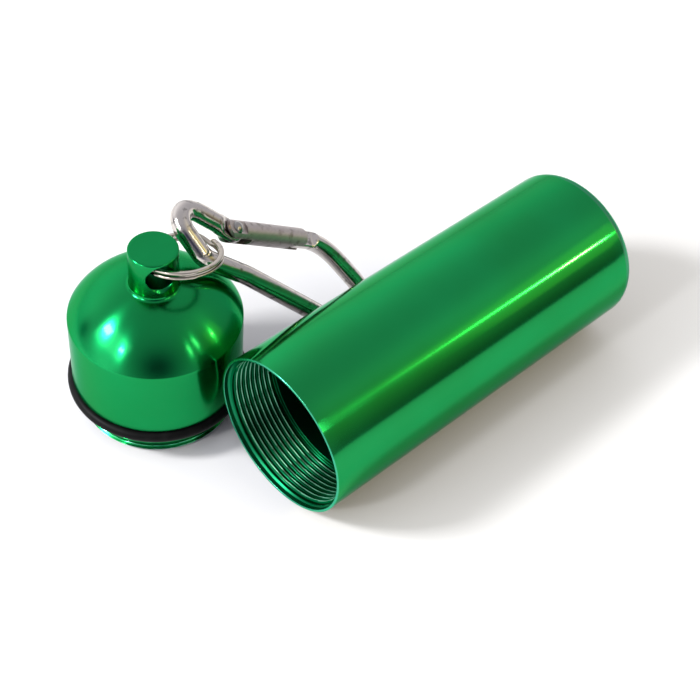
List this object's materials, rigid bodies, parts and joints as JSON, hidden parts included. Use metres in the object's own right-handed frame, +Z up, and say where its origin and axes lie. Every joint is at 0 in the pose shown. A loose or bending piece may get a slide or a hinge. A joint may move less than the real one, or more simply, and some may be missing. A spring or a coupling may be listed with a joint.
{
  "type": "waterproof capsule",
  "caption": "Keyring capsule: a threaded metal tube, its domed screw cap with a rubber seal, and a split ring with a sprung snap hook on the cap's knob.",
  "frame": {"origin": "middle of the whole part's box at its underside, on the surface it lies on", "axes": "+X along the tube from its mouth to its closed end, +Z up, cap standing on the +Y side"},
  "size_m": [0.1014, 0.067, 0.0412],
  "materials": {
    "green_anodised": "polished, green anodised",
    "black_rubber": "smooth",
    "nickel_plate": "bright nickel plate on steel",
    "satin_steel": "satin",
    "spring_steel": "drawn wire"
  },
  "bodies": {
    "tube_body": {"tube": "green_anodised"},
    "seal": {"o_ring": "black_rubber"},
    "cap_body": {"cap": "green_anodised"},
    "ring": {"split_ring": "nickel_plate"},
    "hook": {"hook_frame": "nickel_plate", "gate_rivet": "nickel_plate"},
    "gate": {"gate_sleeve": "satin_steel", "gate_plunger": "spring_steel", "gate_spring": "spring_steel"}
  },
  "joints": [
    {"name": "cap_swing", "type": "hinge", "parent": "tube_body", "child": "seal", "pos_m": [-0.03655, -0.00248, 0.0048], "axis": [0.6744, -0.3006, -0.6744], "range_deg": [-213.47, 0]},
    {"name": "cap_turn", "type": "hinge", "parent": "seal", "child": "cap_body", "pos_m": [-0.03315, 0.0159, 0], "axis": [0, 0, 1], "range_deg": [0, 120]},
    {"name": "ring_swing", "type": "hinge", "parent": "cap_body", "child": "ring", "pos_m": [-0.03315, 0.0159, 0.0365], "axis": [0.0872, -0.9962, 0], "range_deg": [0, 68]},
    {"name": "hook_swing", "type": "hinge", "parent": "ring", "child": "hook", "pos_m": [-0.02156, 0.01698, 0.03501], "axis": [-0.4375, 0.8873, -0.1461], "range_deg": [-55, 0]},
    {"name": "gate_open", "type": "hinge", "parent": "hook", "child": "gate", "pos_m": [-0.01281, 0.01818, 0.03051], "axis": [0.4705, -0.539, 0.6987], "range_deg": [-28, 0], "stiffness_Nm_per_rad": 0.01, "springref_deg": 20.05}
  ]
}
